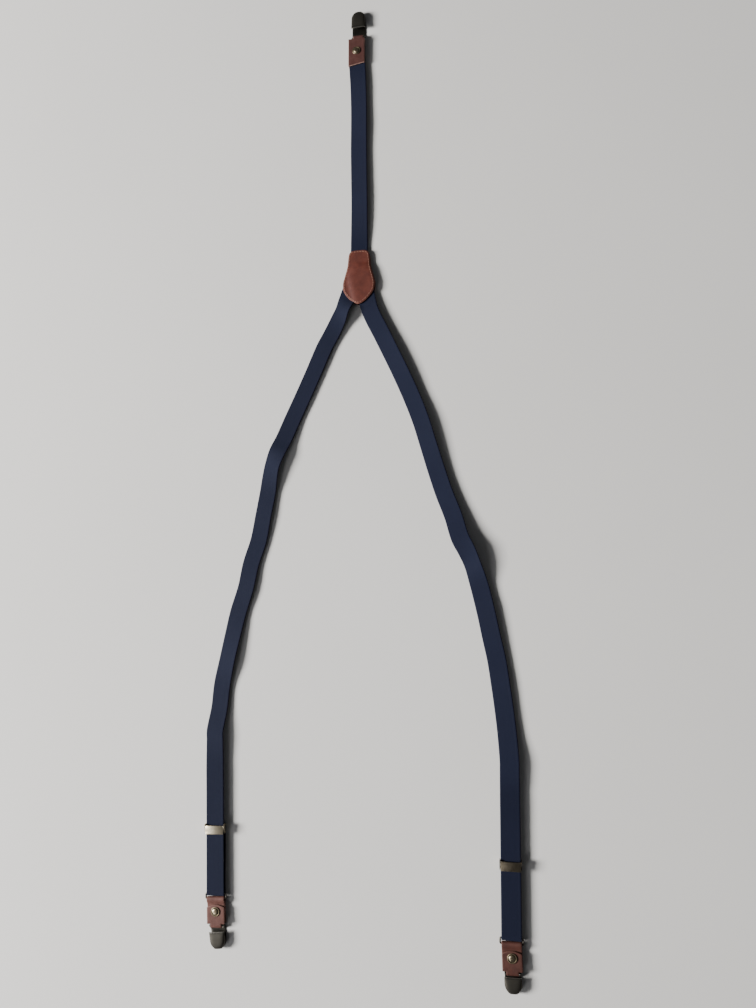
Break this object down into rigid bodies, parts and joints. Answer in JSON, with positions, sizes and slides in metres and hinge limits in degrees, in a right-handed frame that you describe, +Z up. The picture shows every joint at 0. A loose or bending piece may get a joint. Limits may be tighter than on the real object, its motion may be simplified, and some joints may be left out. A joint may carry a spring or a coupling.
{
  "type": "suspenders",
  "caption": "Y-back suspenders of flat webbing joined by a stitched leather patch, with cam clips on riveted leather tabs and sliding adjusters.",
  "frame": {"origin": "bottom centre of the object's box, as it lies flat", "axes": "+X to the right, +Y along the straps towards the back clip, +Z up"},
  "size_m": [0.3386, 1.086, 0.0091],
  "materials": {
    "webbing": "ribbed woven elastic, matt",
    "leather": "smooth, slightly waxed, paler cut edges",
    "thread": "waxed thread",
    "rivet_brass": "antiqued",
    "clip_metal": "dark gunmetal plating, satin",
    "adjuster_metal": "pale antiqued brass plating, satin",
    "jaw_plastic": "moulded"
  },
  "bodies": {
    "straps": {"back_strap": "webbing", "left_front_strap": "webbing", "right_front_strap": "webbing", "patch_back": "leather", "patch_front": "leather", "patch_stitching": "thread", "back_tab": "leather", "back_rivet_cap": "rivet_brass", "back_rivet_back": "rivet_brass"},
    "back_clip": {"back_clip_base": "clip_metal", "back_jaw_pad": "jaw_plastic", "back_hinge_pin": "clip_metal"},
    "back_lever": {"back_lever": "clip_metal"},
    "left_strap_end": {"left_strap_loop": "webbing"},
    "left_ring": {"left_ring": "clip_metal"},
    "left_tab": {"left_tab": "leather", "left_rivet_cap": "rivet_brass", "left_rivet_back": "rivet_brass"},
    "left_clip": {"left_clip_base": "clip_metal", "left_jaw_pad": "jaw_plastic", "left_hinge_pin": "clip_metal"},
    "left_lever": {"left_lever": "clip_metal"},
    "left_adjuster": {"left_adjuster_frame": "adjuster_metal", "left_adjuster_pin": "adjuster_metal"},
    "left_adjuster_lever": {"left_adjuster_lever": "adjuster_metal"},
    "right_strap_end": {"right_strap_loop": "webbing"},
    "right_ring": {"right_ring": "clip_metal"},
    "right_tab": {"right_tab": "leather", "right_rivet_cap": "rivet_brass", "right_rivet_back": "rivet_brass"},
    "right_clip": {"right_clip_base": "clip_metal", "right_jaw_pad": "jaw_plastic", "right_hinge_pin": "clip_metal"},
    "right_lever": {"right_lever": "clip_metal"},
    "right_adjuster": {"right_adjuster_frame": "adjuster_metal", "right_adjuster_pin": "adjuster_metal"},
    "right_adjuster_lever": {"right_adjuster_lever": "adjuster_metal"}
  },
  "joints": [
    {"name": "back_clip_swing", "type": "hinge", "parent": "straps", "child": "back_clip", "pos_m": [-0.0012, 0.5087, 0.0039], "axis": [-1, 0, 0], "range_deg": [-45, 45]},
    {"name": "back_lever_flip", "type": "hinge", "parent": "back_clip", "child": "back_lever", "pos_m": [-0.0012, 0.5412, 0.0046], "axis": [-1, 0, 0], "range_deg": [0, 90]},
    {"name": "left_length_slide", "type": "slide", "parent": "straps", "child": "left_strap_end", "axis": [-0.0332, 0.9995, 0], "range_m": [-0.02, 0.03], "deforming": ["left_strap_loop"]},
    {"name": "left_adjuster_slide", "type": "slide", "parent": "left_strap_end", "child": "left_adjuster", "axis": [-0.0332, 0.9995, 0], "range_m": [-0.02, 0.03], "deforming": ["left_strap_loop"]},
    {"name": "left_adjuster_flip", "type": "hinge", "parent": "left_adjuster", "child": "left_adjuster_lever", "pos_m": [-0.15609, -0.40223, 0.0079], "axis": [-0.9995, -0.0332, 0], "range_deg": [0, 90]},
    {"name": "left_ring_swing", "type": "hinge", "parent": "left_strap_end", "child": "left_ring", "pos_m": [-0.1538, -0.4713, 0.0039], "axis": [0.9995, 0.0332, 0], "range_deg": [-30, 30]},
    {"name": "left_tab_swing", "type": "hinge", "parent": "left_ring", "child": "left_tab", "pos_m": [-0.15362, -0.47669, 0.0039], "axis": [0.9995, 0.0332, 0], "range_deg": [-45, 45]},
    {"name": "left_clip_swing", "type": "hinge", "parent": "left_tab", "child": "left_clip", "pos_m": [-0.15206, -0.50295, 0.0039], "axis": [0.9928, 0.1201, 0], "range_deg": [-45, 45]},
    {"name": "left_lever_flip", "type": "hinge", "parent": "left_clip", "child": "left_lever", "pos_m": [-0.14941, -0.52489, 0.0046], "axis": [0.9928, 0.1201, 0], "range_deg": [0, 90]},
    {"name": "right_length_slide", "type": "slide", "parent": "straps", "child": "right_strap_end", "axis": [0.0105, 0.9999, 0], "range_m": [-0.02, 0.03], "deforming": ["right_strap_loop"]},
    {"name": "right_adjuster_slide", "type": "slide", "parent": "right_strap_end", "child": "right_adjuster", "axis": [0.0105, 0.9999, 0], "range_m": [-0.02, 0.03], "deforming": ["right_strap_loop"]},
    {"name": "right_adjuster_flip", "type": "hinge", "parent": "right_adjuster", "child": "right_adjuster_lever", "pos_m": [0.15785, -0.4201, 0.0079], "axis": [-0.9999, 0.0105, 0], "range_deg": [0, 90]},
    {"name": "right_ring_swing", "type": "hinge", "parent": "right_strap_end", "child": "right_ring", "pos_m": [0.1571, -0.4917, 0.0039], "axis": [0.9999, -0.0105, 0], "range_deg": [-30, 30]},
    {"name": "right_tab_swing", "type": "hinge", "parent": "right_ring", "child": "right_tab", "pos_m": [0.15704, -0.4971, 0.0039], "axis": [0.9999, -0.0105, 0], "range_deg": [-45, 45]},
    {"name": "right_clip_swing", "type": "hinge", "parent": "right_tab", "child": "right_clip", "pos_m": [0.1575, -0.52339, 0.0039], "axis": [0.9997, 0.0244, 0], "range_deg": [-45, 45]},
    {"name": "right_lever_flip", "type": "hinge", "parent": "right_clip", "child": "right_lever", "pos_m": [0.15794, -0.54119, 0.0046], "axis": [0.9997, 0.0244, 0], "range_deg": [0, 90]}
  ],
  "couplings": [
    {"joint": "left_adjuster_slide", "follows": "left_length_slide", "ratio": 1},
    {"joint": "right_adjuster_slide", "follows": "right_length_slide", "ratio": 1}
  ]
}
